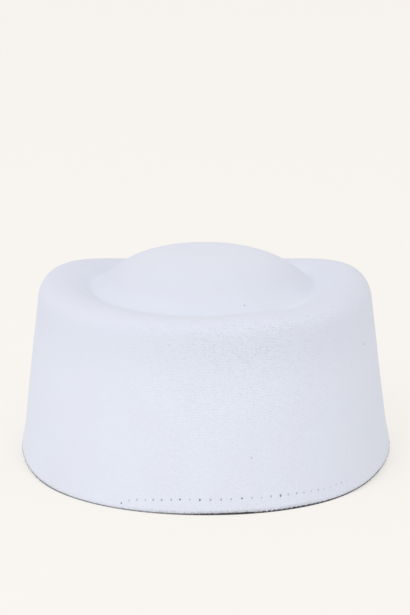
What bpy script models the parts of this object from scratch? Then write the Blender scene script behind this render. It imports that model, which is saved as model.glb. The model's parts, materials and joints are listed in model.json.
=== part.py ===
"""A low oval felt hat: a moulded felt shell with a sunken ring round its dome, and a dark sweatband inside.

The hat stands on z = 0 with its front towards -Y. All lengths are in metres.
"""

import math

import bmesh
import bpy
from mathutils import Vector

# Outer size of the felt at its cut edge
HEM_WIDTH = 0.172
HEM_DEPTH = 0.2047

# Heights above the surface that the hat stands on
SIDE_HEIGHT = 0.0841
FRONT_HEIGHT = 0.0816
REAR_HEIGHT = 0.0733
DOME_HEIGHT = 0.0950

# Moulding of the crown, measured inwards from the hem
WALL_LEAN = 0.0088
SHOULDER_RISE = 0.0112
SHOULDER_RUN = 0.0113
RIM_RUN = 0.0144
GROOVE_DEPTH = 0.0064

# Materials and the seat between them
FELT_THICKNESS = 0.0022
BAND_THICKNESS = 0.0010
BAND_HEIGHT = 0.0300
LIP_SETBACK = 0.0010
SEAT_GAP = 0.0003

# The plan is an oval a little fuller than an ellipse, whose squareness is 2
SQUARENESS = {"hem": 2.14, "dome_centre": 2.0}

# Facets round the hat
TURNS = 72

# Stretches of the outer profile from the hem to the middle of the dome: how many rings each has,
# and how full its curve is, where 1 is straight and 2 is a round
STRETCHES = (
    {"name": "wall", "rings": 4, "fullness": 1.0},
    {"name": "shoulder", "rings": 6, "fullness": 2.23},
    {"name": "rim", "rings": 5, "fullness": 1.59},
    {"name": "dome", "rings": 9, "fullness": 2.96},
)

# Soft waves of the rim where the felt was pressed by hand: where each lies, in degrees round from the
# hat's right side with the front at 270, how wide it is in degrees, and its lift as a share of the
# groove's depth
RIM_WAVES = (
    {"at": 262.0, "width": 14.0, "lift": -0.05},
    {"at": 290.0, "width": 11.0, "lift": 0.08},
    {"at": 309.0, "width": 11.0, "lift": -0.11},
)

FELT_COLOUR = (0.79, 0.82, 0.89, 1.0)
BAND_COLOUR = (0.035, 0.035, 0.040, 1.0)

HEM_HEIGHT = BAND_THICKNESS + SEAT_GAP
WALL, SHOULDER, RIM, DOME = range(len(STRETCHES))


def clear_scene():
    for old in list(bpy.data.objects):
        bpy.data.objects.remove(old, do_unlink=True)


def make_material(name, colour, roughness):
    material = bpy.data.materials.new(name)
    material.use_nodes = True
    shader = material.node_tree.nodes["Principled BSDF"]
    shader.inputs["Base Color"].default_value = colour
    shader.inputs["Roughness"].default_value = roughness
    shader.inputs["Metallic"].default_value = 0.0
    material.diffuse_color = colour
    return material


def oval_point(turn, inset, squareness):
    """A point of the hem's oval, drawn in by inset."""
    across, along = math.cos(turn), math.sin(turn)
    power = 2.0 / squareness
    return (
        math.copysign(abs(across) ** power, across) * (HEM_WIDTH / 2 - inset),
        math.copysign(abs(along) ** power, along) * (HEM_DEPTH / 2 - inset),
    )


def crest_height(turn):
    """Height of the rim's crest, which falls from the sides to the rear."""
    end_height = FRONT_HEIGHT if math.sin(turn) < 0 else REAR_HEIGHT
    height = SIDE_HEIGHT * math.cos(turn) ** 2 + end_height * math.sin(turn) ** 2
    for wave in RIM_WAVES:
        away = (math.degrees(turn) - wave["at"] + 180.0) % 360.0 - 180.0
        height += wave["lift"] * GROOVE_DEPTH * math.exp(-((away / wave["width"]) ** 2))
    return height


def outer_point(turn, station):
    """A point of the outside: station counts the stretches passed on the way up from the hem."""
    stretch = max(WALL, min(int(station), DOME))
    share = station - stretch
    fullness = STRETCHES[stretch]["fullness"]
    squareness = SQUARENESS["hem"]
    crest = crest_height(turn)
    wall_top = crest - SHOULDER_RISE
    crest_inset = WALL_LEAN + SHOULDER_RUN
    groove_inset = crest_inset + RIM_RUN
    if stretch == WALL:
        inset = WALL_LEAN * share
        height = HEM_HEIGHT + (wall_top - HEM_HEIGHT) * share
    elif stretch == SHOULDER:
        angle = share * math.pi / 2
        inset = WALL_LEAN + SHOULDER_RUN * (1 - math.cos(angle) ** (2 / fullness))
        height = wall_top + SHOULDER_RISE * math.sin(angle) ** (2 / fullness)
    elif stretch == RIM:
        inset = crest_inset + RIM_RUN * share
        height = crest - GROOVE_DEPTH * share**fullness
    else:
        radius = max(0.0, 1 - share)
        squareness = SQUARENESS["dome_centre"] * (1 - radius) + SQUARENESS["hem"] * radius
        groove = crest - GROOVE_DEPTH
        height = DOME_HEIGHT + (groove - DOME_HEIGHT) * radius**fullness
        x, y = oval_point(turn, groove_inset, squareness)
        return Vector((x * radius, y * radius, height))
    x, y = oval_point(turn, inset, squareness)
    return Vector((x, y, height))


def facing(turn, station, step):
    """The outward direction of the outside, taken from the stretch on the step's side of the station."""
    middle = station + step / 2
    swing = 0.01
    round_the_hat = outer_point(turn + swing, middle) - outer_point(turn - swing, middle)
    up_the_hat = (outer_point(turn, station + step) - outer_point(turn, station)) / step
    return round_the_hat.cross(up_the_hat).normalized()


def inner_point(turn, station, depth):
    """The point of the felt's inside under a station, with the same thickness in a crease as elsewhere."""
    step = 0.02
    below = facing(turn, station, -step)
    above = facing(turn, station, step)
    between = (below + above).normalized()
    return outer_point(turn, station) - between * (depth / between.dot(above))


def wall_point(turn, height, depth):
    """A point at a height inside the straight wall, depth under its outside."""
    station = (height - HEM_HEIGHT) / (crest_height(turn) - SHOULDER_RISE - HEM_HEIGHT)
    out = facing(turn, 0.5, 0.1)
    level = Vector((out.x, out.y, 0.0))
    along_the_wall = outer_point(turn, 1.0) - outer_point(turn, 0.0)
    outside = outer_point(turn, 0.0) + along_the_wall * station
    return outside - level.normalized() * (depth / level.length)


def ring_of(bm, point_at):
    """One ring of vertices, point_at giving the place for each turn."""
    turns = (2 * math.pi * i / TURNS for i in range(TURNS))
    return [bm.verts.new(point_at(turn)) for turn in turns]


def join_rings(bm, lower, upper):
    """Faces between two rings, facing out where the second ring is the higher one of an outside."""
    for i in range(TURNS):
        after = (i + 1) % TURNS
        bm.faces.new((lower[i], lower[after], upper[after], upper[i]))


def close_at(bm, ring, place, outwards):
    """A fan from a ring to one vertex in its middle."""
    middle = bm.verts.new(place)
    for i in range(TURNS):
        pair = (ring[i], ring[(i + 1) % TURNS])
        bm.faces.new((*pair, middle) if outwards else (*reversed(pair), middle))


def make_object(name, bm, material):
    mesh = bpy.data.meshes.new(name)
    bm.to_mesh(mesh)
    bm.free()
    mesh.materials.append(material)
    mesh.shade_smooth()
    mesh.set_sharp_from_angle(angle=math.radians(50))
    made = bpy.data.objects.new(name, mesh)
    bpy.context.scene.collection.objects.link(made)
    return made


def stations():
    """The stations of the rings between the hem and the middle of the dome, both left out."""
    found = []
    for number, stretch in enumerate(STRETCHES):
        found += [number + (i + 1) / stretch["rings"] for i in range(stretch["rings"])]
    return found[:-1]


def make_felt_body(material):
    """The moulded shell, open at the bottom, with its cut edge flat."""
    bm = bmesh.new()
    hem_out = ring_of(bm, lambda turn: outer_point(turn, 0.0))
    hem_in = ring_of(bm, lambda turn: wall_point(turn, HEM_HEIGHT, FELT_THICKNESS))
    join_rings(bm, hem_in, hem_out)
    outside, inside = hem_out, hem_in
    for station in stations():
        next_outside = ring_of(bm, lambda turn: outer_point(turn, station))
        next_inside = ring_of(bm, lambda turn: inner_point(turn, station, FELT_THICKNESS))
        join_rings(bm, outside, next_outside)
        join_rings(bm, next_inside, inside)
        outside, inside = next_outside, next_inside
    close_at(bm, outside, (0.0, 0.0, DOME_HEIGHT), outwards=True)
    close_at(bm, inside, (0.0, 0.0, DOME_HEIGHT - FELT_THICKNESS), outwards=False)
    return make_object("felt_body", bm, material)


def make_sweatband(material):
    """The band inside the wall, whose lower edge is turned out under the felt's cut edge."""
    bm = bmesh.new()
    band_out = FELT_THICKNESS + SEAT_GAP
    band_in = band_out + BAND_THICKNESS
    corners = (
        {"height": 0.0, "depth": LIP_SETBACK},
        {"height": BAND_THICKNESS, "depth": LIP_SETBACK},
        {"height": BAND_THICKNESS, "depth": band_out},
        {"height": BAND_HEIGHT, "depth": band_out},
        {"height": BAND_HEIGHT, "depth": band_in},
        {"height": 0.0, "depth": band_in},
    )
    rings = [
        ring_of(bm, lambda turn: wall_point(turn, corner["height"], corner["depth"])) for corner in corners
    ]
    for ring, after in zip(rings, rings[1:] + rings[:1]):
        join_rings(bm, ring, after)
    return make_object("sweatband", bm, material)


def main():
    clear_scene()
    make_felt_body(make_material("white_felt", FELT_COLOUR, 0.92))
    make_sweatband(make_material("dark_band", BAND_COLOUR, 0.85))


main()
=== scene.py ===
import json
import math
import random

import bpy
from mathutils import Matrix, Vector
from mathutils.kdtree import KDTree

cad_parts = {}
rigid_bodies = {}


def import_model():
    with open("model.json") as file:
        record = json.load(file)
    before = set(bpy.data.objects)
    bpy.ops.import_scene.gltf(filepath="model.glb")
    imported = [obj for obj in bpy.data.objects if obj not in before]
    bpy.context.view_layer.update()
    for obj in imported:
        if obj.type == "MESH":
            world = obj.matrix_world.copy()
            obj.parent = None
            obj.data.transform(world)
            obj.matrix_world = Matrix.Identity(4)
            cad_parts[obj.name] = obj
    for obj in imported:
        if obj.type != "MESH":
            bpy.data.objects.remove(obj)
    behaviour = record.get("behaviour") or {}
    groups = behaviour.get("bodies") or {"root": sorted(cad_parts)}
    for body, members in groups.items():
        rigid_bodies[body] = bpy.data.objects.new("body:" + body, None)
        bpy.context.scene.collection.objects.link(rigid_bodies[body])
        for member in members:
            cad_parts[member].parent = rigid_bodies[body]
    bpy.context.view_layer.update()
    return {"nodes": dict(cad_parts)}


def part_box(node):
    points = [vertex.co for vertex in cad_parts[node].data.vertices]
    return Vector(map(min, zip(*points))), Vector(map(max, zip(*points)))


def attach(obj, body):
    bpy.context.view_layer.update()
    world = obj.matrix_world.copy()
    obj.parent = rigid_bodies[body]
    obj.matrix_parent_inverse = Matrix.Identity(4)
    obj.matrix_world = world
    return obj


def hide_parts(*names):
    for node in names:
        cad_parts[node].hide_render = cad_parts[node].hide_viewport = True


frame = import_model()
nodes = frame["nodes"]

# The hat stands on z = 0 with its front towards -Y; everything is in metres.
# A turn is an angle in degrees round the hat: 0 at its right side, 270 at its front
mm = 0.001
view = {
    "distance": 0.9,                   # from the hat's middle to the lens
    "elevation": 12.51,                # degrees above the floor
    "aimHeight": 0.0670,
    "focalLength": 113.14,             # in millimetres, like the sensor's width
    "sensorWidth": 36.0,
    "pictureSize": (410, 615),         # for the marks that are placed by their pixel
}
dice = random.Random(11)


# Shader maths: a wire wraps one socket, so that an expression on wires adds its Math nodes
class Wire:
    def __init__(self, tree, socket):
        self.tree = tree
        self.socket = socket

    def maths(self, operation, *values):
        return self.tree.add("ShaderNodeMath", {"operation": operation}, *values)

    def __add__(self, other):
        return self.maths("ADD", self, other)

    def __radd__(self, other):
        return self.maths("ADD", other, self)

    def __sub__(self, other):
        return self.maths("SUBTRACT", self, other)

    def __rsub__(self, other):
        return self.maths("SUBTRACT", other, self)

    def __mul__(self, other):
        return self.maths("MULTIPLY", self, other)

    def __truediv__(self, other):
        return self.maths("DIVIDE", self, other)

    def fraction(self):
        return self.maths("FRACT", self)

    def whole(self):
        return self.maths("FLOOR", self)

    def root(self):
        return self.maths("SQRT", self)

    def wave(self):
        return self.maths("SINE", self)

    def size(self):                    # without its sign
        return self.maths("ABSOLUTE", self)

    # 0 below low and 1 above high, smooth in between
    def between(self, low, high):
        return self.tree.add("ShaderNodeMapRange", {"interpolation_type": "SMOOTHSTEP"},
                             self, low, high, 0.0, 1.0, output="Result")

    def atLeast(self, least):          # 0 to 1 becomes least to 1
        return self * (1 - least) + least


class Finish:
    def __init__(self, name, constants):
        self.material = bpy.data.materials.new(name)
        self.material.use_nodes = True
        self.nodes = self.material.node_tree.nodes
        self.links = self.material.node_tree.links
        self.shader = self.nodes["Principled BSDF"]
        for socket, value in constants.items():
            self.shader.inputs[socket].default_value = value

    def add(self, kind, settings, *values, output=0, **named):
        node = self.nodes.new(kind)
        for setting, value in settings.items():
            setattr(node, setting, value)
        for key, value in [*enumerate(values), *named.items()]:
            self.feed(node.inputs[key], value)
        return Wire(self, node.outputs[output])

    def feed(self, socket, value):
        if isinstance(value, Wire):
            self.links.new(value.socket, socket)
        else:
            socket.default_value = value

    def place(self):
        return self.add("ShaderNodeTexCoord", {}, output="Object")

    def apart(self, vector):
        node = self.nodes.new("ShaderNodeSeparateXYZ")
        self.feed(node.inputs[0], vector)
        return [Wire(self, output) for output in node.outputs]

    def measure(self, name):           # a number kept at each point of the mesh
        return self.add("ShaderNodeAttribute", {"attribute_name": name}, output="Fac")

    def cloud(self, place, size, detail=2.0, roughness=0.5):
        return self.add("ShaderNodeTexNoise", {}, Vector=place, Scale=1 / size, Detail=detail,
                        Roughness=roughness, output="Fac")

    def tint(self, share, first, second):
        node = self.nodes.new("ShaderNodeMix")
        node.data_type = "RGBA"
        self.feed(node.inputs["Factor"], share)
        self.feed(node.inputs[6], first)
        self.feed(node.inputs[7], second)
        return Wire(self, node.outputs[2])

    def relief(self, height, depth):
        normal = self.add("ShaderNodeBump", {}, Height=height, Strength=1.0, Distance=depth,
                          output="Normal")
        self.feed(self.shader.inputs["Normal"], normal)

    def paint(self, socket, value):
        self.feed(self.shader.inputs[socket], value)


def only(piece):
    bpy.ops.object.select_all(action="DESELECT")
    piece.select_set(True)
    bpy.context.view_layer.objects.active = piece


# In edit mode: selects the vertices, edges or faces that are wanted
def pick(piece, kind, wanted):
    bpy.ops.mesh.select_mode(type=kind)
    bpy.ops.mesh.select_all(action="DESELECT")
    bpy.ops.object.mode_set(mode="OBJECT")
    mesh = piece.data
    group = {"VERT": mesh.vertices, "EDGE": mesh.edges, "FACE": mesh.polygons}[kind]
    for item in group:
        item.select = bool(wanted(item))
    bpy.ops.object.mode_set(mode="EDIT")


def ends(piece, item):                 # where the vertices of an edge or face are
    return [piece.data.vertices[v].co for v in item.vertices]


# A copy of a CAD node, with the corners that its triangles share merged
def copyOf(node, name):
    piece = bpy.data.objects.new(name, nodes[node].data.copy())
    piece.data.name = name
    piece.data.materials.clear()
    bpy.context.scene.collection.objects.link(piece)
    only(piece)
    bpy.ops.object.mode_set(mode="EDIT")
    bpy.ops.mesh.select_all(action="SELECT")
    bpy.ops.mesh.remove_doubles(threshold=0.01 * mm)
    bpy.ops.object.mode_set(mode="OBJECT")
    return piece


def squareUp():                        # in edit mode
    bpy.ops.mesh.select_all(action="SELECT")
    bpy.ops.mesh.tris_convert_to_quads(face_threshold=math.radians(90), shape_threshold=math.radians(90),
                                       topology_influence=2.0)


def applyAll(piece):
    only(piece)
    for modifier in list(piece.modifiers):
        bpy.ops.object.modifier_apply(modifier=modifier.name)


def weigh(piece, name, weightOf):      # a vertex group, with the weight that a function gives each vertex
    group = piece.vertex_groups.new(name=name)
    for vertex in piece.data.vertices:
        weight = weightOf(vertex)
        if weight > 0:
            group.add([vertex.index], weight, "REPLACE")


def subdivide(piece, levels):
    smooth = piece.modifiers.new("smooth", "SUBSURF")
    smooth.levels = smooth.render_levels = levels


def push(piece, strength, group="", direction="NORMAL", cloudSize=0.0):
    shove = piece.modifiers.new("push", "DISPLACE")
    shove.strength = strength
    shove.direction = direction
    shove.vertex_group = group
    shove.mid_level = 0.0
    if cloudSize:
        shove.mid_level = 0.5
        shove.texture = bpy.data.textures.new("waves", "CLOUDS")
        shove.texture.noise_scale = cloudSize
        shove.texture_coords = "LOCAL"


def joined(copies, name):
    bpy.ops.object.select_all(action="DESELECT")
    for copy in copies:
        copy.select_set(True)
    bpy.context.view_layer.objects.active = copies[0]
    bpy.ops.object.join()
    piece = bpy.context.object
    piece.name = piece.data.name = name
    bpy.ops.object.transform_apply(location=True, rotation=True, scale=True)
    bpy.ops.object.shade_smooth()
    return piece


def turnOf(place):
    return math.degrees(math.atan2(place.y, place.x)) % 360


def away(turn, other):                 # how many degrees apart two turns are
    return abs((turn - other + 180) % 360 - 180)


def ease(value, low, high):            # 0 below low and 1 above high, smooth in between
    share = max(0.0, min(1.0, (value - low) / (high - low)))
    return share * share * (3 - 2 * share)


def heading(turn):                     # the level direction of a turn
    return Vector((math.cos(math.radians(turn)), math.sin(math.radians(turn)), 0))


def dress(piece, finish, body, slot, *replaced):
    piece.data.materials.clear()
    piece.data.materials.append(finish.material)
    if replaced:
        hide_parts(*replaced)
    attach(piece, body)


# Felt body
feltSizes = {
    "hem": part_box("felt_body")[0].z,   # the height of its cut edge
    "half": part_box("felt_body")[1].xy, # half the hem's width and depth
    "squareness": 2.14,                # of the hem's oval
    "wall": 2.2 * mm,
    "lean": 0.121,                     # how far the wall leans in for each metre of its height
    "poleReach": 9 * mm,               # the middle of the dome is made anew within this
    "poleSpan": 18,
    "edgeRound": 0.5 * mm,             # the cut edge's rounding
    "footRings": (2.6 * mm, 4.4 * mm, 7.2 * mm, 10.2 * mm),
    "lifts": (                         # where the foot is off the floor, how far, and half how widely
        {"turn": 180, "height": 3.7 * mm, "width": 49},
        {"turn": 0, "height": 4.1 * mm, "width": 62},
    ),
    "liftFlat": 4,                     # the lift falls from this many degrees on
    "liftFade": (1.5 * mm, 18 * mm),   # and over these heights of the wall
    "sway": 0.40 * mm,                 # how far the foot leans to the hat's right side
    "swayFade": (4 * mm, 40 * mm),
    "droop": 1.0 * mm,                 # how far the edge hangs over the band's lip
    "bares": (                         # where it hangs less, fading over these widths in degrees
        {"turn": 276, "width": (2, 12), "share": 0.36},
        {"turn": 294, "width": (4, 9), "share": 0.26},
    ),
    "mottled": {                       # where the edge's mottled painted shade is strongest, and how high up
        "turn": 276,
        "width": (12, 28),
        "reach": (0.3 * mm, 1.8 * mm),
        "least": 0.3,                  # in the rest of the round
    },
    "waveSize": 42 * mm,               # soft unevenness of the hand-pressed felt
    "waveDepth": 0.5 * mm,
    "fineStrip": (4.3 * mm, 10.3 * mm),   # cut finely enough to hold the dimples of the stitches
    "fineCuts": 2,
}


def hemShare(place):                   # 1 on the hem's oval, less inside it
    power = feltSizes["squareness"]
    across, along = abs(place.x) / feltSizes["half"].x, abs(place.y) / feltSizes["half"].y
    return (across**power + along**power) ** (1 / power)


def onOutside(place, depth=0.5):       # near the floor: within a share of the felt's thickness
    inset = feltSizes["lean"] * (place.z - feltSizes["hem"]) + feltSizes["wall"] * depth
    return hemShare(place) > 1 - inset / feltSizes["half"].x


def droopAt(turn):
    return 1 - sum(bare["share"] * (1 - ease(away(turn, bare["turn"]), *bare["width"]))
                   for bare in feltSizes["bares"])


def liftAt(turn, height=0.0):          # how far the foot is pushed up at a turn and height
    total = sum(lift["height"] * (1 - ease(away(turn, lift["turn"]), feltSizes["liftFlat"], lift["width"]))
                for lift in feltSizes["lifts"])
    return total * (1 - ease(height, *feltSizes["liftFade"]))


def hemHeight(turn):                   # how high the cut edge ends up
    return feltSizes["hem"] - feltSizes["droop"] * droopAt(turn) + liftAt(turn)


def ringFoot(piece):                   # more rings of edges near the floor
    bpy.ops.object.mode_set(mode="EDIT")
    for height in feltSizes["footRings"]:
        bpy.ops.mesh.select_all(action="SELECT")
        bpy.ops.mesh.bisect(plane_co=(0, 0, height), plane_no=(0, 0, 1))
    bpy.ops.object.mode_set(mode="OBJECT")


def liftFoot(piece):
    most = feltSizes["liftFade"][1]    # what a weight of 1 is pushed
    weigh(piece, "lift", lambda v: liftAt(turnOf(v.co), v.co.z) / most)
    push(piece, most, group="lift", direction="Z")
    weigh(piece, "sway", lambda v: 1 - ease(v.co.z, *feltSizes["swayFade"]))
    push(piece, feltSizes["sway"], group="sway", direction="X")


# The fans over the dome's middle, outside and inside, become grids
def remakePoles(piece):
    bpy.ops.object.mode_set(mode="EDIT")
    pick(piece, "VERT", lambda v: v.co.xy.length < feltSizes["poleReach"])
    bpy.ops.mesh.delete(type="VERT")
    squareUp()
    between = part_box("felt_body")[1].z - feltSizes["wall"] / 2
    for outer in (True, False):
        bpy.ops.mesh.select_mode(type="EDGE")
        bpy.ops.mesh.select_all(action="DESELECT")
        bpy.ops.mesh.select_non_manifold(extend=False, use_wire=False, use_multi_face=False,
                                         use_non_contiguous=False, use_verts=False)
        bpy.ops.object.mode_set(mode="OBJECT")
        for edge in piece.data.edges:
            edge.select = edge.select and (ends(piece, edge)[0].z > between) == outer
        bpy.ops.object.mode_set(mode="EDIT")
        bpy.ops.mesh.fill_grid(span=feltSizes["poleSpan"])
    bpy.ops.object.mode_set(mode="OBJECT")


# Only the long edges round the hat, not the short ones across the felt's thickness
def roundHem(piece):
    hem = feltSizes["hem"]
    bpy.ops.object.mode_set(mode="EDIT")
    pick(piece, "EDGE", lambda e: max(abs(end.z - hem) for end in ends(piece, e)) < 0.01 * mm
         and away(*[turnOf(end) for end in ends(piece, e)]) > 2)
    bpy.ops.mesh.bevel(offset=feltSizes["edgeRound"], segments=3, affect="EDGES")
    bpy.ops.object.mode_set(mode="OBJECT")


def refineStrip(piece):
    low, high = feltSizes["fineStrip"]
    bpy.ops.object.mode_set(mode="EDIT")
    pick(piece, "FACE", lambda f: all(low < end.z < high and onOutside(end) for end in ends(piece, f)))
    bpy.ops.mesh.subdivide(number_cuts=feltSizes["fineCuts"], smoothness=1.0)
    bpy.ops.object.mode_set(mode="OBJECT")


def makeFeltBody():
    piece = copyOf("felt_body", "feltBody")
    remakePoles(piece)
    ringFoot(piece)
    roundHem(piece)
    bottom = feltSizes["hem"] + feltSizes["edgeRound"]
    weigh(piece, "droop", lambda v: droopAt(turnOf(v.co)) * (v.co.z < bottom) * onOutside(v.co))
    subdivide(piece, 2)
    applyAll(piece)
    refineStrip(piece)
    push(piece, -feltSizes["droop"], group="droop", direction="Z")
    push(piece, feltSizes["waveDepth"], cloudSize=feltSizes["waveSize"])
    liftFoot(piece)
    applyAll(piece)
    return piece


# Where each stitch is: its place on the felt, the way out, its turn and how dark its thread and painted
# hole shade show
stitchSizes = {
    "pitch": 3.65 * mm,
    "stretch": 0.72 * mm,              # how much wider the pitch is near the front
    "stretchTurn": 275.5,
    "stretchWidth": (5, 22),           # in degrees to each side
    "start": 249.3,                    # the turn of the first dark stitch
    "round": 359.0,                    # and how far round the row goes from there
    "firstHeights": (2.7 * mm, 4.1 * mm, 5.0 * mm, 5.4 * mm, 5.8 * mm, 5.8 * mm, 6.1 * mm),
    "height": 6.6 * mm,
    "endHeight": 5.9 * mm,             # at the end of the dark run
    "endTurns": (283, 307),            # the height changes over these turns
    "dark": 0.45,                      # how dark the thread and the painted shade of its hole show in the front
    "fading": (286, 296),              # it fades over these turns
    "faint": 0.34,
    "faintEnd": (307, 314),            # and ends over these ones
    "pale": 0.0,                       # how dark it is in the rest of the round
    "strong": (0, 7, 9, 13, 17),       # the darkest stitches
    "strongDark": 0.72,
    "uneven": (0.65, 1.25),            # the others vary between these shares
    "wander": 0.18 * mm,
    "dimpleReach": 1.3 * mm,
    "dimpleDepth": 0.24 * mm,
    "dimpleLeast": 0.25,               # the share of it under a pale stitch
}


def onFelt(piece, turn, height):       # the felt's outer face at a turn and height, and its normal
    out = heading(turn)
    hit, place, normal, face = piece.ray_cast(out * 0.2 + Vector((0, 0, height)), -out)
    return place, normal


def stitchHeight(number, turn):
    if number < len(stitchSizes["firstHeights"]):
        return stitchSizes["firstHeights"][number]
    toEnd = ease(turn, *stitchSizes["endTurns"])
    return stitchSizes["height"] + (stitchSizes["endHeight"] - stitchSizes["height"]) * toEnd


def stitchDark(number, turn):
    if number in stitchSizes["strong"]:
        return stitchSizes["strongDark"]
    dark = stitchSizes["dark"]
    dark += (stitchSizes["faint"] - dark) * ease(turn, *stitchSizes["fading"])
    dark += (stitchSizes["pale"] - dark) * ease(turn, *stitchSizes["faintEnd"])
    return dark * dice.uniform(*stitchSizes["uneven"])


def planStitches(piece):
    plan = []
    turn = stitchSizes["start"]
    while turn < stitchSizes["start"] + stitchSizes["round"]:
        height = stitchHeight(len(plan), turn) + dice.uniform(-1, 1) * stitchSizes["wander"]
        height += liftAt(turn, height)
        shifted = turn + dice.uniform(-1, 1) * math.degrees(stitchSizes["wander"] / feltSizes["half"].x)
        place, normal = onFelt(piece, shifted, height)
        plan.append({"place": place, "out": normal, "turn": shifted % 360,
                     "dark": stitchDark(len(plan), turn)})
        wider = 1 - ease(away(turn, stitchSizes["stretchTurn"]), *stitchSizes["stretchWidth"])
        pitch = stitchSizes["pitch"] + stitchSizes["stretch"] * wider
        ahead = onFelt(piece, turn + 0.5, height)[0] - onFelt(piece, turn - 0.5, height)[0]
        turn += pitch / ahead.length
    return plan


def dimple(piece, plan):
    tree = KDTree(len(plan))
    for number, stitch in enumerate(plan):
        tree.insert(stitch["place"], number)
    tree.balance()
    reach = stitchSizes["dimpleReach"]
    least = stitchSizes["dimpleLeast"]

    def depthAt(vertex):
        if vertex.co.z > 3 * stitchSizes["height"] or not onOutside(vertex.co):
            return 0
        place, number, gap = tree.find(vertex.co)
        return (1 - ease(gap, 0, reach)) * (least + (1 - least) * plan[number]["dark"])

    weigh(piece, "dimples", depthAt)
    push(piece, -stitchSizes["dimpleDepth"], group="dimples")
    applyAll(piece)
    piece.vertex_groups.clear()


# For the finish: how far a point is on the inside of the shell, and how near the cut edge, where painted
# shade greys it
def markFelt(piece):
    inside = piece.data.attributes.new("inside", "FLOAT", "POINT")
    edge = piece.data.attributes.new("edge", "FLOAT", "POINT")
    middle = Vector((0, 0, 40 * mm))
    mottled = feltSizes["mottled"]
    for vertex in piece.data.vertices:
        inward = -vertex.normal.dot((vertex.co - middle).normalized())
        inside.data[vertex.index].value = ease(inward, -0.1, 0.25)
        turn = turnOf(vertex.co)
        rise = vertex.co.z - hemHeight(turn)
        rough = 1 - (1 - mottled["least"]) * ease(away(turn, mottled["turn"]), *mottled["width"])
        edge.data[vertex.index].value = (1 - ease(rise, *mottled["reach"])) * rough


feltLook = {
    "white": (0.750, 0.806, 0.919, 1),
    "lilac": (0.750, 0.792, 0.909, 1),
    # painted shade in the pits
    "pitPaintedShade": (0.610, 0.665, 0.815, 1),
    "ridgeLight": (0.815, 0.875, 1.0, 1),   # painted highlight on the felt between the pits
    # painted shade, greying the rim's outside and the right side
    "paintedShade": (0.721, 0.771, 0.890, 1),
    # painted light, lightening the groove and the dome's top
    "paintedLight": (0.795, 0.850, 0.955, 1),
    # painted shade at the cut edge
    "edgePaintedShade": (0.265, 0.26, 0.25, 1),
    "columns": 520,                    # pits round the hat
    "rowPitch": 1.25 * mm,
    "rowBow": 0.65,                    # how much the rows sag to the sides, the more the lower they are
    "rowFlat": 115 * mm,               # the height where they wouldn't
    "rowClimb": 0.5,                   # how fast they follow each other where the felt turns inwards
    "wobble": 0.5,                     # how unsteady the rows and columns are
    "wobbleSize": 2.6 * mm,
    "astray": (0.40, 0.30),            # how far a pit may be from its place, in columns and rows
    "pitShape": (1.1, 1.2),            # the larger, the narrower the pits across and along
    "pitEdge": (0.06, 0.42),           # how far from its middle a pit ends
    "pitLeast": 0.2,                   # how deep the shallowest is against the deepest
    "pitLow": 0.36,                    # how strong the pits are near the foot
    "pitRises": (                      # and how much stronger they get over which heights
        {"over": (20 * mm, 60 * mm), "more": 0.30},
        {"over": (54 * mm, 70 * mm), "more": 0.70},
    ),
    "pitTop": (0.82, 0.93),            # they fade out over these shares of the hem's oval
    "pitMiddle": 14 * mm,              # how far right of the middle they are deepest
    "pitSides": (5 * mm, 75 * mm),     # and how far from there they fade
    "sideFade": 0.85,
    "frontReach": 75 * mm,             # the front of the hat, where the rows sag, begins within this
    "backLeast": 0.4,
    "patchSize": 9 * mm,
    "patchLeast": 0.7,
    "pitDepth": 0.17 * mm,
    "hairDepth": 0.05 * mm,
    "hairSize": 0.35 * mm,
    "insideHair": 3.0,                 # how much rougher the felt is inside
    "lumpDepth": 0.25 * mm,
    "lumpSize": 6 * mm,
    "hueSize": 24 * mm,
    "shoulderShade": {                          # the rim's outside, greyed with painted shade
        "share": (0.74, 0.81),
        "over": (46 * mm, 72 * mm),
        "under": (74 * mm, 80 * mm),
        "fade": 0.8,
    },
    # painted shade on the hat's right side
    "right": {"over": (50 * mm, 88 * mm), "share": 0.6},
    "groove": {                        # shares of the hem's oval, and lengths to the hat's right
        "from": (0.50, 0.64),
        "to": (0.66, 0.78),
        "more": (10 * mm, 40 * mm),
        "end": (40 * mm, 60 * mm),
    },
    "domeTop": {"over": (86 * mm, 95 * mm), "share": 0.5},
    "mottleSize": 0.65 * mm,
    "edgeTint": (0.6, 0.12),           # how strong the edge's painted shade is in patches, and all over
}


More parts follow.
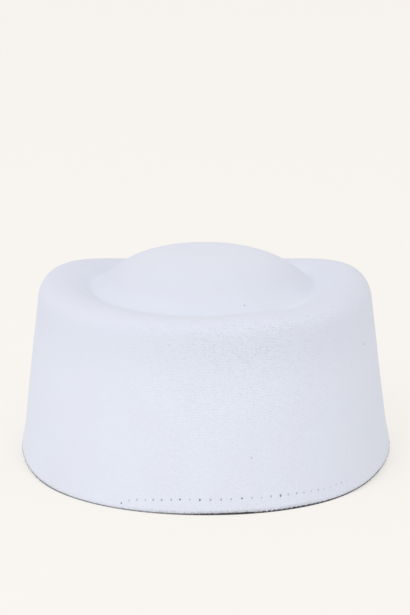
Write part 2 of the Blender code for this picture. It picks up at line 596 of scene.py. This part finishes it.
def feltFinish():
    made = Finish("whiteFelt", {"Roughness": 0.95, "Specular IOR Level": 0.15, "Sheen Weight": 0.06,
                                "Sheen Roughness": 0.6})
    place = made.place()
    x, y, z = made.apart(place)
    inside = made.measure("inside")

    # the imprint of the blocking cloth: staggered rows of small pits, strongest over the front wall
    angle = made.add("ShaderNodeMath", {"operation": "ARCTAN2"}, y, x)
    sideways = x / feltSizes["half"].x
    front = (0.0 - y).between(0.0, feltLook["frontReach"])
    bow = sideways * sideways * (feltLook["rowFlat"] - z) * feltLook["rowBow"] * front
    wobble = (made.cloud(place, feltLook["wobbleSize"], detail=1.0) - 0.5) * feltLook["wobble"]
    byWidth, byDepth = [(part / half).size() for part, half in zip((x, y), feltSizes["half"])]
    share = (byWidth * byWidth + byDepth * byDepth).root()
    climb = (1.0 - share) * (feltLook["rowClimb"] * feltSizes["half"].x)
    row = (z + climb + bow) / feltLook["rowPitch"] + wobble
    column = angle * (feltLook["columns"] / (2 * math.pi)) + row.whole() * 0.5 + wobble
    cell = made.add("ShaderNodeCombineXYZ", {}, column.whole(), row.whole(), 0.0)
    chance = made.add("ShaderNodeTexWhiteNoise", {"noise_dimensions": "2D"}, Vector=cell, output="Color")
    sideStray, upStray, uneven = made.apart(chance)
    across = column.fraction() - 0.5 + (sideStray - 0.5) * feltLook["astray"][0]
    along = row.fraction() - 0.5 + (upStray - 0.5) * feltLook["astray"][1]
    shape = feltLook["pitShape"]
    gap = (across * across * shape[0] + along * along * shape[1]).root()
    pit = (1.0 - gap.between(*feltLook["pitEdge"])) * uneven.atLeast(feltLook["pitLeast"])
    high = feltLook["pitLow"]
    for rise in feltLook["pitRises"]:
        high = high + z.between(*rise["over"]) * rise["more"]
    beside = (x - feltLook["pitMiddle"]).size().between(*feltLook["pitSides"])
    patches = made.cloud(place, feltLook["patchSize"], detail=3.0).between(0.30, 0.62)
    wanted = high * share.between(*feltLook["pitTop"]) * (1.0 - beside * feltLook["sideFade"])
    wanted = wanted * front.atLeast(feltLook["backLeast"]) * (1.0 - inside)
    wanted = wanted * patches.atLeast(feltLook["patchLeast"])

    # wool: fine hairs, and soft lumps in the thickness
    hairs = made.cloud(place, feltLook["hairSize"], detail=4.0, roughness=0.65)
    lumps = made.cloud(place, feltLook["lumpSize"], detail=3.0)
    hue = made.cloud(place, feltLook["hueSize"], detail=2.0).between(0.35, 0.65)
    colour = made.tint(hue, feltLook["white"], feltLook["lilac"])
    # painted highlight on the felt between the pits, then painted shade in the pits and a little over the
    # fine hairs
    colour = made.tint(wanted * (0.2 + sideStray * 0.7), colour, feltLook["ridgeLight"])
    colour = made.tint(pit * wanted * 1.1 + hairs.between(0.35, 0.75) * 0.08, colour, feltLook["pitPaintedShade"])

    # painted shade: a little greyer over the rim's outside and to the right; painted light: lighter in the
    # groove and on the dome
    shoulderSpan, right = feltLook["shoulderShade"], feltLook["right"]
    shoulderShade = share.between(*shoulderSpan["share"]) * z.between(*shoulderSpan["over"])
    shoulderShade = shoulderShade * (1.0 - z.between(*shoulderSpan["under"]) * shoulderSpan["fade"])
    colour = made.tint(shoulderShade, colour, feltLook["paintedShade"])
    colour = made.tint(x.between(*right["over"]) * right["share"], colour, feltLook["paintedShade"])
    # painted light: the groove and the top of the dome are lightened
    groove, top = feltLook["groove"], feltLook["domeTop"]
    paintedLightMask = share.between(*groove["from"]) * (1.0 - share.between(*groove["to"]))
    paintedLightMask = paintedLightMask * (0.5 + x.between(*groove["more"]) * 0.4) * (1.0 - x.between(*groove["end"]))
    paintedLightMask = paintedLightMask + z.between(*top["over"]) * top["share"]
    colour = made.tint(paintedLightMask, colour, feltLook["paintedLight"])

    # the cut edge: mottled grey, painted shade under its rounding and between its loose fibres
    edge = made.measure("edge")
    mottle = made.cloud(place, feltLook["mottleSize"], detail=3.0, roughness=0.7).between(0.40, 0.66)
    inPatches, allOver = feltLook["edgeTint"]
    colour = made.tint(edge * (mottle * inPatches + allOver), colour, feltLook["edgePaintedShade"])
    made.paint("Base Color", colour)

    hairDepth, pitDepth = [feltLook[name] / feltLook["lumpDepth"] for name in ("hairDepth", "pitDepth")]
    height = hairs * (1.0 + inside * feltLook["insideHair"]) * hairDepth
    height = height - pit * wanted * pitDepth + lumps * 0.4
    made.relief(height, feltLook["lumpDepth"])
    return made


feltBody = makeFeltBody()
stitches = planStitches(feltBody)
dimple(feltBody, stitches)
markFelt(feltBody)
only(feltBody)
bpy.ops.object.shade_smooth()
dress(feltBody, feltFinish(), "root", "felt", "felt_body")
print("felt body:", len(feltBody.data.polygons), "faces,", len(stitches), "stitches")


# Sweatband
bandSizes = {
    "edgeRound": 0.2 * mm,
    "lipTop": 1.15 * mm,               # the lip lies below this
    "flare": 0.95 * mm,                # how far the lip is pressed out from under the felt in front
    "flareSteps": (180, 80, 70, 60, 50),   # in equal steps, each as far round as this
    "pressed": 0.75 * mm,              # how much thinner the lip is where the felt hangs over it
    "roughSize": 1.6 * mm,
    "roughDepth": 0.16 * mm,
    "paleLip": (-270, -254),             # the lip is paler from here on, over these turns counted backwards
    "paleLipEnd": (-180, -160),          # and as far as here
    "paleLipTop": 5 * mm,
}


def makeSweatband():
    piece = copyOf("sweatband", "sweatBand")
    bpy.ops.object.mode_set(mode="EDIT")
    squareUp()
    bpy.ops.object.mode_set(mode="OBJECT")
    ringFoot(piece)
    bpy.ops.object.mode_set(mode="EDIT")
    flare = 1 + bandSizes["flare"] / len(bandSizes["flareSteps"]) / feltSizes["half"].x
    for reach in bandSizes["flareSteps"]:
        pick(piece, "VERT", lambda v: v.co.z < bandSizes["lipTop"] and onOutside(v.co, 0.75)
             and away(turnOf(v.co), 270) <= reach)
        bpy.ops.transform.resize(value=(flare, flare, 1), center_override=(0, 0, 0))
    bpy.ops.object.mode_set(mode="OBJECT")
    weigh(piece, "pressed", lambda v: droopAt(turnOf(v.co)) * (0.5 * mm < v.co.z < bandSizes["lipTop"]))
    bevel = piece.modifiers.new("round", "BEVEL")
    bevel.width = bandSizes["edgeRound"]
    bevel.segments = 2
    subdivide(piece, 2)
    push(piece, -bandSizes["pressed"], group="pressed", direction="Z")
    applyAll(piece)
    weigh(piece, "lip", lambda v: ease(v.co.z, 0.05 * mm, 0.3 * mm) - ease(v.co.z, 0.6 * mm, 1.6 * mm))
    push(piece, bandSizes["roughDepth"], group="lip", cloudSize=bandSizes["roughSize"])
    liftFoot(piece)
    applyAll(piece)
    piece.vertex_groups.clear()
    paleLip = piece.data.attributes.new("paleLip", "FLOAT", "POINT")
    for vertex in piece.data.vertices:
        turn = -turnOf(vertex.co)
        share = ease(turn, *bandSizes["paleLip"]) * (1 - ease(turn, *bandSizes["paleLipEnd"]))
        paleLip.data[vertex.index].value = share * (vertex.co.z < bandSizes["paleLipTop"])
    only(piece)
    bpy.ops.object.shade_smooth()
    return piece


bandLook = {
    "charcoal": (0.030, 0.030, 0.036, 1),
    "worn": (0.085, 0.085, 0.095, 1),
    "paleLip": (0.36, 0.36, 0.38, 1),
    "ribs": 560,                       # woven ribs round the hat
    "threadPitch": 0.45 * mm,
    "ribDepth": 0.16 * mm,
}


def bandFinish():
    made = Finish("charcoalRibbon", {"Roughness": 0.88, "Specular IOR Level": 0.25, "Sheen Weight": 0.1,
                                     "Sheen Roughness": 0.5})
    place = made.place()
    x, y, z = made.apart(place)
    angle = made.add("ShaderNodeMath", {"operation": "ARCTAN2"}, y, x)
    rib = (angle * bandLook["ribs"]).wave() * 0.5 + 0.5
    thread = (z * (2 * math.pi / bandLook["threadPitch"])).wave() * 0.5 + 0.5
    fluff = made.cloud(place, 0.5 * mm, detail=4.0, roughness=0.7)
    lip = 1.0 - z.between(1.2 * mm, 2.2 * mm)
    shade = rib * 0.35 + thread * 0.15 + fluff.between(0.35, 0.75) * 0.5
    colour = made.tint(shade, bandLook["charcoal"], bandLook["worn"])
    # the lip's paler colour over the hat's left and left front
    made.paint("Base Color", made.tint(made.measure("paleLip"), colour, bandLook["paleLip"]))
    weave = (rib + thread * 0.4) * (1.0 - lip) + fluff * 0.8
    made.relief(weave, bandLook["ribDepth"])
    return made


sweatBand = makeSweatband()
dress(sweatBand, bandFinish(), "root", "band", "sweatband")
print("sweatband:", len(sweatBand.data.polygons), "faces")


# Stitches: a dark nub where the thread goes in, standing for the dark thread and the painted shade of the
# needle hole, and a pale thread from it down over the edge
threadSizes = {
    "nub": (0.48 * mm, 0.26 * mm, 0.62 * mm),   # half its width, thickness and height
    "nubSunk": 0.10 * mm,              # how far under the felt's face its top is
    "nubProud": 0.12 * mm,             # less this
    "nubLeast": 0.7,                   # how wide a pale one is against a dark one
    "lean": 32,                        # how far the last dark nubs lean, in degrees
    "leanTurns": (285, 318),
    "leanWander": 25,
    "paleRadius": 0.09 * mm,
    "paleProud": -0.05 * mm,           # half sunk in the felt
    "steps": 7,
    "whips": {                         # slanted threads over the lip
        "turns": (282.5, 302),
        "pitch": 1.35,                 # in degrees, like the slant
        "slant": 0.55,
        "radius": 0.13 * mm,
        "rise": (1.1 * mm, -0.15 * mm),   # of their ends over the cut edge
    },
    # the nubs' dark colour: dark thread and the painted shade of the needle hole
    "charcoal": (0.09, 0.09, 0.11, 1),
    "faded": (0.73, 0.78, 0.89, 1),
    "pale": (0.78, 0.82, 0.92, 1),
    "worn": (0.72, 0.76, 0.86, 1),
}


def makeNubs(plan):
    bpy.ops.object.select_all(action="DESELECT")
    bpy.ops.mesh.primitive_uv_sphere_add(segments=8, ring_count=6, radius=1.0)
    model = bpy.context.object
    bpy.ops.object.mode_set(mode="EDIT")
    bpy.ops.transform.resize(value=threadSizes["nub"])
    bpy.ops.object.mode_set(mode="OBJECT")
    model.data.attributes.new("dark", "FLOAT", "POINT")
    copies = []
    for stitch in plan:
        nub = model.copy()
        nub.data = model.data.copy()
        bpy.context.scene.collection.objects.link(nub)
        wander = threadSizes["leanWander"]
        lean = threadSizes["lean"] * ease(stitch["turn"], *threadSizes["leanTurns"])
        lean += dice.uniform(-wander, wander)
        out = stitch["out"]
        side = Vector((0, 0, 1)).cross(out).normalized()
        up = out.cross(side)
        frameOf = Matrix((side, out, up)).transposed().to_4x4()
        least = threadSizes["nubLeast"]
        size = least + (1 - least) * ease(stitch["dark"], 0, 0.5)
        stretch = Matrix.Diagonal((size, 1, size * dice.uniform(0.75, 1.25), 1))
        sunk = threadSizes["nub"][1] + threadSizes["nubSunk"] * dice.uniform(0.6, 1.2)
        middle = stitch["place"] - out * (sunk - threadSizes["nubProud"])
        turned = frameOf @ Matrix.Rotation(math.radians(lean), 4, "Y")
        nub.matrix_world = Matrix.Translation(middle) @ turned @ stretch
        nub.data.attributes["dark"].data.foreach_set("value", [stitch["dark"]] * len(nub.data.vertices))
        copies.append(nub)
    bpy.data.objects.remove(model)
    return joined(copies, "stitchNubs")


# Strands are made as one curve with many splines, and then turned into a mesh
def makeStrands(name, strands, radius):
    curve = bpy.data.curves.new(name, "CURVE")
    curve.dimensions = "3D"
    curve.bevel_depth = radius
    curve.bevel_resolution = 0
    curve.use_fill_caps = True
    for points in strands:
        spline = curve.splines.new("POLY")
        spline.points.add(len(points) - 1)
        for number, place in enumerate(points):
            spline.points[number].co = (*place, 1)
            spline.points[number].radius = 1.0 if 0 < number < len(points) - 1 else 0.7
    piece = bpy.data.objects.new(name, curve)
    bpy.context.scene.collection.objects.link(piece)
    only(piece)
    bpy.ops.object.convert(target="MESH")
    piece = bpy.context.object
    piece.name = piece.data.name = name
    bpy.ops.object.shade_smooth()
    return piece


def makePaleThreads(plan):
    strands = []
    proud = threadSizes["paleProud"]
    for stitch in plan:
        slant = dice.uniform(-0.25, 0.35)
        points = [stitch["place"] - stitch["out"] * 0.3 * mm]
        low = hemHeight(stitch["turn"]) + 0.5 * mm
        for step in range(threadSizes["steps"]):
            share = step / (threadSizes["steps"] - 1)
            height = stitch["place"].z - 0.2 * mm + (low - stitch["place"].z) * share
            place, out = onFelt(feltBody, stitch["turn"] + slant * share, height)
            points.append(place + out * proud)
        points.append(points[-1] - heading(stitch["turn"]) * 0.6 * mm - Vector((0, 0, 0.3 * mm)))
        strands.append(points)
    return makeStrands("hemThreads", strands, threadSizes["paleRadius"])


# Where the lip shows most on the right, pale threads are wound over it
def makeWhips():
    whips = threadSizes["whips"]
    strands = []
    turn, last = whips["turns"]
    while turn < last:
        points = []
        for step in range(threadSizes["steps"]):
            share = step / (threadSizes["steps"] - 1)
            at = turn + whips["slant"] * (1 - 2 * share)
            height = hemHeight(at) + whips["rise"][0] + (whips["rise"][1] - whips["rise"][0]) * share
            place, out = onFelt(feltBody, at, max(height, hemHeight(at) + 0.4 * mm))
            points.append(Vector((place.x, place.y, height)) + heading(at) * 0.02 * mm)
        strands.append(points)
        turn += whips["pitch"] * dice.uniform(0.8, 1.25)
    return makeStrands("edgeThreads", strands, whips["radius"])


def nubFinish():
    made = Finish("threadAndHoleShade", {"Roughness": 0.9, "Specular IOR Level": 0.2})
    dark = made.measure("dark")
    # the nubs carry the dark thread and the painted shade of the needle hole
    made.paint("Base Color", made.tint(dark, threadSizes["faded"], threadSizes["charcoal"]))
    return made


def threadFinish():
    made = Finish("paleThread", {"Roughness": 0.85, "Specular IOR Level": 0.25, "Sheen Weight": 0.05})
    twist = made.cloud(made.place(), 0.4 * mm, detail=2.0)
    made.paint("Base Color", made.tint(twist.between(0.3, 0.7), threadSizes["pale"], threadSizes["worn"]))
    return made


stitchNubs = makeNubs(stitches)
dress(stitchNubs, nubFinish(), "root", "band")
hemThreads = makePaleThreads(stitches)
dress(hemThreads, threadFinish(), "root", "felt")
edgeThreads = makeWhips()
dress(edgeThreads, threadFinish(), "root", "felt")
print("stitches:", len(stitchNubs.data.polygons) + len(hemThreads.data.polygons), "faces")


# Loose wool at the cut edge, and loose threads at the band's lip
fuzz = (
    {
        "name": "woolFuzz",
        "slot": "felt",
        "count": 2600,
        "radius": 0.030 * mm,
        "length": (0.5 * mm, 1.6 * mm),
        "rise": (0.1 * mm, 1.0 * mm),  # of the roots over the cut edge
        "drop": 0.75,
        "out": 0.35,
        "pale": (0.76, 0.80, 0.88, 1),
        "dark": (0.50, 0.52, 0.57, 1),
    },
    {
        "name": "lipFuzz",
        "slot": "band",
        "count": 1500,
        "radius": 0.030 * mm,
        "length": (0.3 * mm, 0.8 * mm),
        "rise": (-0.3 * mm, 0.2 * mm),
        "drop": 0.15,
        "out": 0.5,
        "pale": (0.10, 0.10, 0.11, 1),
        "dark": (0.03, 0.03, 0.035, 1),
    },
)
strandShape = {
    "inset": 0.07 * mm,                # the roots are this far inside the felt's face
    "sideways": 0.8,
    "outwards": 0.6,
    "curl": (0.5, 0.35),               # sideways and upwards
    "shares": (0.0, 0.33, 0.67, 1.0),  # of the length
    "clear": 0.05 * mm,                # strands that come nearer to the floor are left out
}


def makeFuzz(kind):
    strands = []
    for number in range(kind["count"]):
        turn = dice.uniform(0, 360)
        height = hemHeight(turn) + dice.uniform(*kind["rise"])
        place, normal = onFelt(feltBody, turn, max(height, hemHeight(turn) + 0.5 * mm))
        root = Vector((place.x, place.y, height)) - heading(turn) * strandShape["inset"]
        up = Vector((0, 0, 1))
        side = up.cross(heading(turn))
        way = side * dice.gauss(0, strandShape["sideways"])
        way += heading(turn) * abs(dice.gauss(0, kind["out"])) * strandShape["outwards"]
        way = (way - up * dice.uniform(0, 2) * kind["drop"]).normalized()
        curlSide, curlUp = strandShape["curl"]
        curl = side * dice.gauss(0, curlSide) + up * dice.gauss(0, curlUp)
        length = dice.uniform(*kind["length"])
        points = [root + (way + curl * share) * length * share for share in strandShape["shares"]]
        if min(point.z for point in points) > strandShape["clear"]:
            strands.append(points)
    return makeStrands(kind["name"], strands, kind["radius"])


def fuzzFinish(name, pale, dark):
    made = Finish(name, {"Roughness": 0.95, "Specular IOR Level": 0.1})
    mottle = made.cloud(made.place(), 0.8 * mm, detail=2.0)
    made.paint("Base Color", made.tint(mottle.between(0.35, 0.65), pale, dark))
    return made


for kind in fuzz:
    piece = makeFuzz(kind)
    dress(piece, fuzzFinish(kind["name"], kind["pale"], kind["dark"]), "root", kind["slot"])
    print(kind["name"], len(piece.data.polygons), "faces")


# Specks of lint on the felt, each at its pixel in the picture
lint = {
    "specks": (
        {"pixel": (244.5, 305.5), "wide": 0.55 * mm, "tall": 0.50 * mm},
        {"pixel": (364.0, 344.0), "wide": 0.75 * mm, "tall": 0.60 * mm},
        {"pixel": (251.5, 458.0), "wide": 0.18 * mm, "tall": 1.10 * mm},
    ),
    "proud": 0.12 * mm,                # out of the felt's face
    "pale": (0.30, 0.30, 0.34, 1),
    "dark": (0.22, 0.22, 0.26, 1),
}


def cameraPlace():
    tilt = math.radians(view["elevation"])
    back = Vector((0, -math.cos(tilt), math.sin(tilt))) * view["distance"]
    return Vector((0, 0, view["aimHeight"])) + back


def underPixel(piece, pixel):          # what the camera sees of a piece at a pixel
    wide, tall = view["pictureSize"]
    scale = view["sensorWidth"] / tall / view["focalLength"]
    tilt = math.radians(view["elevation"])
    ahead = Vector((0, math.cos(tilt), -math.sin(tilt)))
    upward = Vector((0, math.sin(tilt), math.cos(tilt)))
    ray = ahead + Vector((1, 0, 0)) * (pixel[0] - wide / 2) * scale - upward * (pixel[1] - tall / 2) * scale
    hit, place, normal, face = piece.ray_cast(cameraPlace(), ray.normalized())
    return place, normal


def makeSpecks():
    made = []
    for speck in lint["specks"]:
        place, out = underPixel(feltBody, speck["pixel"])
        bpy.ops.object.select_all(action="DESELECT")
        bpy.ops.mesh.primitive_ico_sphere_add(subdivisions=2, radius=1.0)
        piece = bpy.context.object
        side = Vector((0, 0, 1)).cross(out).normalized()
        frameOf = Matrix((side, out, out.cross(side))).transposed().to_4x4()
        size = Matrix.Diagonal((speck["wide"] / 2, lint["proud"], speck["tall"] / 2, 1))
        piece.matrix_world = Matrix.Translation(place) @ frameOf @ size
        made.append(piece)
    return joined(made, "lintSpecks")


lintSpecks = makeSpecks()
dress(lintSpecks, fuzzFinish("lint", lint["pale"], lint["dark"]), "root", "felt")
print("specks:", len(lint["specks"]))


# Floor, light and camera
studio = {
    "floorSize": 24,
    "floor": (0.957, 0.934, 0.895),
    "floorGlow": 0.72,                 # how much of the floor's light is its own
    "sky": (0.850, 0.814, 0.794),
    "lampAim": (0, 0, 0.05),
    "lamps": (
        {"name": "keyLight", "place": (-1.8, -2.2, 2.6), "size": 2.4, "power": 23.6},
        {"name": "fillLight", "place": (0.0, -3.4, 1.1), "size": 2.8, "power": 7.4},
    ),
}


def makeStudio():
    bpy.ops.mesh.primitive_plane_add(size=studio["floorSize"], location=(0, 0, 0))
    floor = bpy.context.object
    floor.name = "floor"
    glow = studio["floorGlow"]
    ground = Finish("paleFloor", {"Roughness": 1.0, "Specular IOR Level": 0.0,
                                  "Base Color": (*[c * (1 - glow) for c in studio["floor"]], 1),
                                  "Emission Color": (*studio["floor"], 1), "Emission Strength": glow})
    floor.data.materials.append(ground.material)

    world = bpy.data.worlds.new("softRoom")
    world.use_nodes = True
    world.node_tree.nodes["Background"].inputs["Color"].default_value = (*studio["sky"], 1)
    world.node_tree.nodes["Background"].inputs["Strength"].default_value = 1.0
    bpy.context.scene.world = world

    for wanted in studio["lamps"]:
        place = Vector(wanted["place"])
        turn = (Vector(studio["lampAim"]) - place).to_track_quat("-Z", "Y").to_euler()
        bpy.ops.object.light_add(type="AREA", location=place, rotation=turn)
        lamp = bpy.context.object
        lamp.name = wanted["name"]
        lamp.data.energy = wanted["power"]
        lamp.data.size = wanted["size"]


def makeCamera():
    tilt = math.radians(view["elevation"])
    bpy.ops.object.camera_add(location=cameraPlace(), rotation=(math.pi / 2 - tilt, 0, 0))
    camera = bpy.context.object
    camera.data.sensor_width = view["sensorWidth"]
    camera.data.lens = view["focalLength"]
    bpy.context.scene.camera = camera


makeStudio()
makeCamera()
print("studio:", len(studio["lamps"]), "lamps, floor and camera")
bpy.context.scene.view_settings.view_transform = "Standard"
